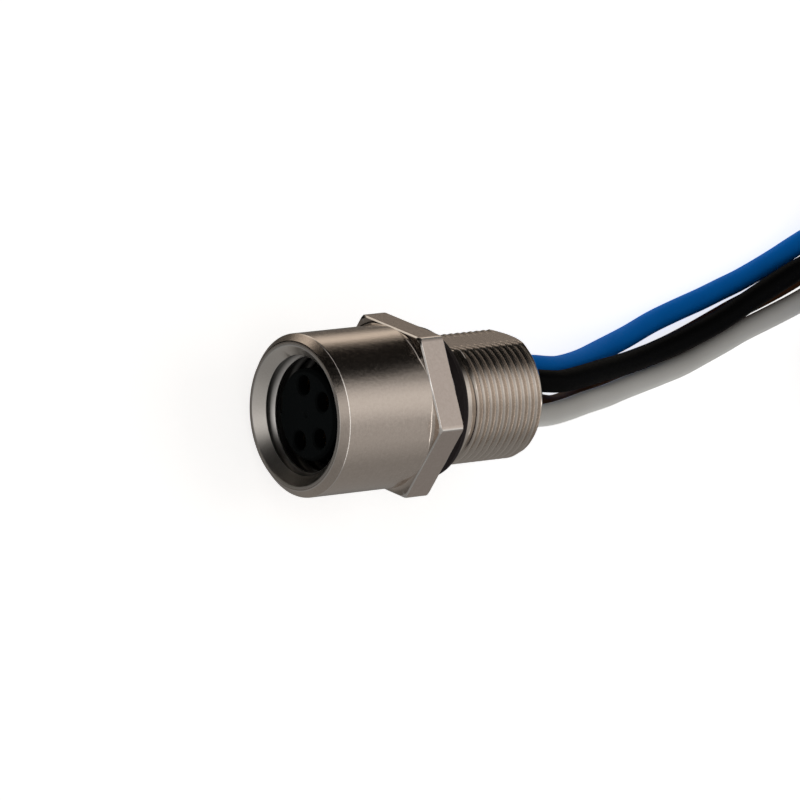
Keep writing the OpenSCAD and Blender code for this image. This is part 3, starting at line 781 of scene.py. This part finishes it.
# Stage: a lit white table, two soft boxes for the shadows, and walls that only reflections see
stage = {"floorSide": 3.0, "floorGlow": 0.75, "floorRoughness": 0.8, "floor": "#f2f2f2", "glow": "#ffffff",
         "room": 0.28, "roomTint": "#fff8f0", "flag": "#020202"}
floorMesh = bpy.data.meshes.new("floor")
half = stage["floorSide"] / 2
floorCorners = [(-half, -half, 0), (half, -half, 0), (half, half, 0), (-half, half, 0)]
floorMesh.from_pydata(floorCorners, [], [(0, 1, 2, 3)])
floor = bpy.data.objects.new("floor", floorMesh)
scene.collection.objects.link(floor)
floor.visible_glossy = False
# paper on a light table: matt white with a glow of its own
paper = bpy.data.materials.new("whiteTable")
paper.use_nodes = True
paperInputs = paper.node_tree.nodes["Principled BSDF"].inputs
paperInputs["Base Color"].default_value = linear(stage["floor"])
paperInputs["Roughness"].default_value = stage["floorRoughness"]
paperInputs["Emission Color"].default_value = linear(stage["glow"])
paperInputs["Emission Strength"].default_value = stage["floorGlow"]
floorMesh.materials.append(paper)

# the direction each box stands in from the part, its distance and sides in mm, and its power in watts
softBoxes = {
    "keyBox": {"direction": (0.6, -0.1, 0.8), "distance": 600, "sides": (360, 300), "power": 0.28},
    "sideBox": {"direction": (0.6, -0.68, 0.4), "distance": 600, "sides": (300, 400), "power": 0.12}}
for name, box in softBoxes.items():
    light = bpy.data.lights.new(name, "AREA")
    light.shape = "RECTANGLE"
    light.size = box["sides"][0] * mm
    light.size_y = box["sides"][1] * mm
    light.energy = box["power"]
    lamp = bpy.data.objects.new(name, light)
    facing = Vector(box["direction"]).normalized()
    aimed = facing.to_track_quat("Z", "Y").to_matrix().to_4x4()
    lamp.matrix_world = Matrix.Translation(facing * box["distance"] * mm) @ aimed
    lamp.visible_glossy = False
    scene.collection.objects.link(lamp)

# A black flag low beside the mouth keeps the bright wall out of the countersink; only reflections see it
flag = {"y": 22, "depth": 36,
        "edge": [(-28, 20), (-24, 14.5), (-19.5, 7.6), (-14.6, -0.3), (-10, -8.4), (-5.7, -15.5), (2, -26)]}
flagMesh = bpy.data.meshes.new("flag")
flagEdge = [(x * mm, flag["y"] * mm, z * mm) for x, z in flag["edge"]]
flagFoot = [(x, y, z - flag["depth"] * mm) for x, y, z in flagEdge]
flagFaces = [(i, i + 1, i + 1 + len(flagEdge), i + len(flagEdge)) for i in range(len(flagEdge) - 1)]
flagMesh.from_pydata(flagEdge + flagFoot, [], flagFaces)
# cloth that gives no light back
flagCloth = bpy.data.materials.new("blackCloth")
flagCloth.use_nodes = True
clothInputs = flagCloth.node_tree.nodes["Principled BSDF"].inputs
clothInputs["Base Color"].default_value = linear(stage["flag"])
clothInputs["Specular IOR Level"].default_value = 0.0
flagMesh.materials.append(flagCloth)
flagPiece = bpy.data.objects.new("flag", flagMesh)
scene.collection.objects.link(flagPiece)
flagPiece.visible_camera = flagPiece.visible_diffuse = flagPiece.visible_shadow = False

# The walls' brightness goes by the angle about the part's axis, from straight up towards +Y, with a long
# lamp overhead; a pair named for X, Y or Z is a range of that part of a direction, lampX of how far its X
# is from lampAt
walls = {
    "levels": [(-180, 0.17), (-155, 0.25), (-95, 0.25), (-60, 0.41), (-35, 0.44), (-13, 0.72), (0, 0.74),
               (12, 0.6), (35, 0.05), (45, 0.008), (84, 0.008), (95, 0.17), (107, 0.95), (120, 0.5),
               (131, 0.11), (180, 0.16)],
    "tint": "#fffdfa", "lowTint": "#fff4e6", "lowAngles": (83, 131),
    "frontShare": 0.78, "frontX": (-0.8, 0.6), "frontLift": 0.25, "liftX": (-0.78, -0.92),
    "curtainX": (-0.55, -0.75), "curtainY": (0.25, 0.45),
    "lampAt": -0.22, "lampX": (0.17, 0.05), "lampY": (0.3, 0.75), "lampNear": 1.25, "lampFar": 0.5,
    "lampZ": (0.0, 0.35)}
world = bpy.data.worlds.new("room")
scene.world = world
world.use_nodes = True
tree = world.node_tree
tree.nodes.clear()
towards = addNode(tree, "ShaderNodeTexCoord").outputs["Generated"]
parts = addNode(tree, "ShaderNodeSeparateXYZ", {0: towards}).outputs

lift = addNode(tree, "ShaderNodeMapRange",
               {0: parts["X"], 1: walls["liftX"][0], 2: walls["liftX"][1], 4: walls["frontLift"]})
lifted = addNode(tree, "ShaderNodeMath", {0: parts["Z"], 1: lift}, operation="ADD")
around = addNode(tree, "ShaderNodeMath", {0: parts["Y"], 1: lifted}, operation="ARCTAN2")
share = addNode(tree, "ShaderNodeMapRange", {0: around, 1: -math.pi, 2: math.pi})
ramp = addNode(tree, "ShaderNodeValToRGB", {0: share})
stops = ramp.color_ramp.elements
stops.remove(stops[1])
lowest, highest = walls["lowAngles"]
for i, (angle, level) in enumerate(walls["levels"]):
    stop = stops[0] if i == 0 else stops.new((angle + 180) / 360)
    stop.position = (angle + 180) / 360
    tint = walls["lowTint"] if lowest <= angle <= highest else walls["tint"]
    stop.color = [level * part for part in linear(tint)[:3]] + [1.0]
depthShare = addNode(tree, "ShaderNodeMapRange",
                     {0: parts["X"], 1: walls["frontX"][0], 2: walls["frontX"][1], 3: walls["frontShare"]})
# a dark curtain closes the front on the +Y side
across, side = (
    addNode(tree, "ShaderNodeMapRange", {0: value, 1: limits[0], 2: limits[1]})
    for value, limits in ((parts["X"], walls["curtainX"]), (parts["Y"], walls["curtainY"])))
curtain = addNode(tree, "ShaderNodeMath", {0: across, 1: side}, operation="MULTIPLY")
gap = addNode(tree, "ShaderNodeMath", {0: 1.0, 1: curtain}, operation="SUBTRACT")
wallShare = addNode(tree, "ShaderNodeMath", {0: depthShare, 1: gap}, operation="MULTIPLY")
wall = addNode(tree, "ShaderNodeVectorMath", {0: ramp, "Scale": wallShare}, operation="SCALE")
# the lamp: a soft strip across the room, dimmer towards +Y
aside = addNode(tree, "ShaderNodeMath", {0: parts["X"], 1: walls["lampAt"]}, operation="SUBTRACT")
offLamp = addNode(tree, "ShaderNodeMath", {0: aside}, operation="ABSOLUTE")
band = addNode(tree, "ShaderNodeMapRange", {0: offLamp, 1: walls["lampX"][0], 2: walls["lampX"][1]},
               interpolation_type="SMOOTHSTEP")
glow = addNode(tree, "ShaderNodeMapRange", {0: parts["Y"], 1: walls["lampY"][0], 2: walls["lampY"][1],
                                            3: walls["lampNear"], 4: walls["lampFar"]})
overhead = addNode(tree, "ShaderNodeMapRange",
                   {0: parts["Z"], 1: walls["lampZ"][0], 2: walls["lampZ"][1]})
strip = addNode(tree, "ShaderNodeMath", {0: band, 1: glow}, operation="MULTIPLY")
lampLight = addNode(tree, "ShaderNodeMath", {0: strip, 1: overhead}, operation="MULTIPLY")
total = addNode(tree, "ShaderNodeVectorMath", {0: wall, 1: lampLight}, operation="ADD")
# what each kind of ray sees: the camera white, reflections the walls and the lamp, the rest an even room
paths = addNode(tree, "ShaderNodeLightPath")
room = addNode(tree, "ShaderNodeBackground", {"Color": linear(stage["roomTint"]), "Strength": stage["room"]})
mirrored = addNode(tree, "ShaderNodeBackground", {"Color": total, "Strength": 1.0})
white = addNode(tree, "ShaderNodeBackground", {"Color": linear(stage["glow"]), "Strength": 1.0})
lit = addNode(tree, "ShaderNodeMixShader", {0: paths.outputs["Is Glossy Ray"], 1: room, 2: mirrored})
seen = addNode(tree, "ShaderNodeMixShader", {0: paths.outputs["Is Camera Ray"], 1: lit, 2: white})
addNode(tree, "ShaderNodeOutputWorld", {"Surface": seen})
scene.view_settings.view_transform = "Standard"
print("stage lit")
